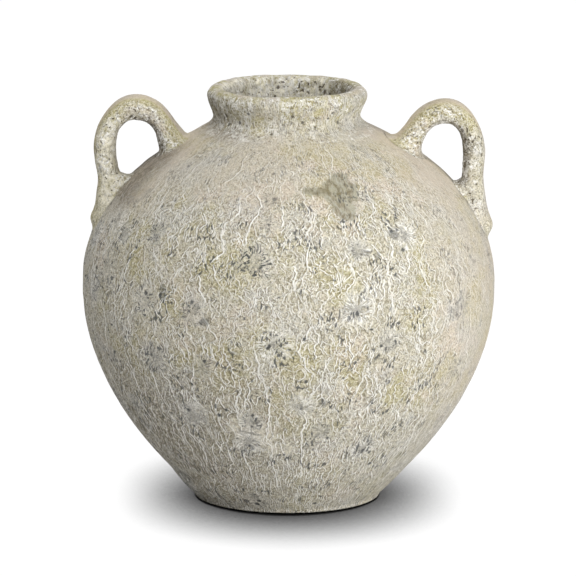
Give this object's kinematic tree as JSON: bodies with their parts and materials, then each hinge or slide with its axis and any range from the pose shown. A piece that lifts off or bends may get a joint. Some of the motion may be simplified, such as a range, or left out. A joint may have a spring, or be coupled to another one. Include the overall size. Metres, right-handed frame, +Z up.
{
  "type": "two-handled jar",
  "caption": "Round-bellied clay jar with a short rolled neck and two upright loop handles on the shoulder, standing on a ring foot; holds water, stems or stored goods.",
  "frame": {"origin": "centre of the foot ring on the ground that the jar stands on", "axes": "+Z up along the jar's axis; the handles lie along X, the taller and slimmer one at -X"},
  "size_m": [0.317, 0.317, 0.32],
  "materials": {
    "weathered_body": "matt, lime-crusted and pitted fired clay, warm grey-beige with white veins, olive tints and slate-blue pits",
    "weathered_lip": "matt, olive-tinted and pitted fired clay with a pale worn crest",
    "weathered_handle": "matt fired clay, smooth on the outer side and white-crusted with dark pits inside the loop",
    "inner_clay": "matt, unfinished fired clay with faint throwing lines"
  },
  "bodies": {
    "root": {"base_disc": "inner_clay", "lower_bowl": "weathered_body", "shoulder_bowl": "weathered_body", "seam_coil": "inner_clay", "neck_collar": "weathered_lip", "rim_roll": "weathered_lip", "left_handle": "weathered_handle", "right_handle": "weathered_handle"}
  },
  "joints": []
}
